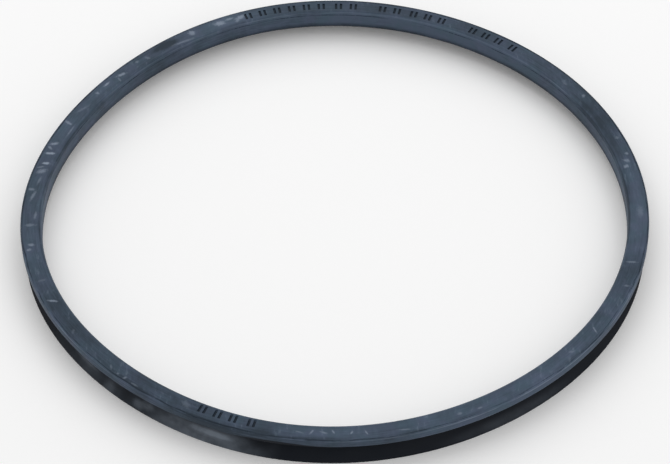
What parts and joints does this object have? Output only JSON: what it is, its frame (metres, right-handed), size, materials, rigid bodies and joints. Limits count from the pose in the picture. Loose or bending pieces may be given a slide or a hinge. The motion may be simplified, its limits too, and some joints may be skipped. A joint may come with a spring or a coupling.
{
  "type": "axial lip oil seal",
  "caption": "One-piece rubber axial lip shaft seal: a thin flat-backed ring with a V-groove and a flared sealing lip.",
  "frame": {"origin": "centre of the circle on which the edge of the lip touches a flat surface", "axes": "+Z along the shaft axis, from the edge of the lip towards the flat back face; X and Y are radial, and the ring is the same all round"},
  "size_m": [0.193, 0.193, 0.0105],
  "materials": {
    "rubber": "moulded black nitrile rubber, matt with a soft blue-grey sheen and pale handling marks"
  },
  "bodies": {
    "root": {"seal_ring": "rubber"}
  },
  "joints": []
}
